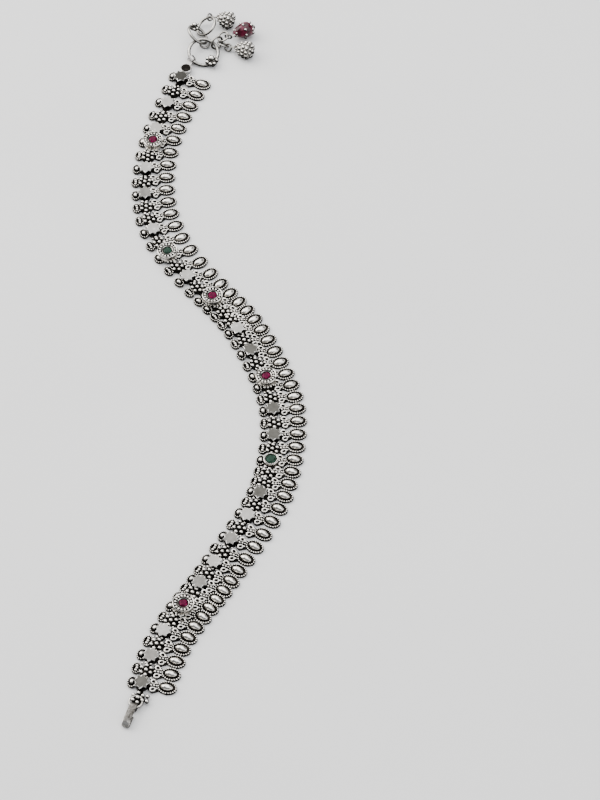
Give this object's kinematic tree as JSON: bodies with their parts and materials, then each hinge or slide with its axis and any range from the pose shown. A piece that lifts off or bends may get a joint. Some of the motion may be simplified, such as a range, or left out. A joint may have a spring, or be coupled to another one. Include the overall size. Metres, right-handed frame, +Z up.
{
  "type": "anklet",
  "caption": "Oxidised silver anklet of soldered links with beaded drops, flowers, stars and cut stones, lying open with its hook, rings and small charms.",
  "frame": {"origin": "bottom centre of the box around the whole anklet as it lies open on a flat surface", "axes": "+Z up from the surface; +Y along the anklet from its hook towards its rings and charms; the drops of the links point towards +X"},
  "size_m": [0.0518, 0.2504, 0.0054],
  "materials": {
    "silver": "oxidised in the recesses, polished on the high spots",
    "dark_silver": "dark oxidised, satin",
    "red_stone": "clear, polished",
    "green_stone": "clear, polished",
    "red_enamel": "glossy"
  },
  "bodies": {
    "root": {"band_lower": "silver", "band_upper": "silver", "stone_red_1": "red_stone", "stone_green_1": "green_stone", "stone_red_2": "red_stone", "stone_red_3": "red_stone", "stone_green_2": "green_stone", "stone_red_4": "red_stone", "hook": "silver", "end_tab": "dark_silver", "ring_a": "silver", "ring_b": "silver", "ring_c": "silver", "ring_inner": "silver", "ring_charm": "silver", "ring_red": "silver", "ring_bell": "silver", "bell_upper": "silver", "bell_lower": "silver", "bead_red": "red_enamel"}
  },
  "joints": []
}
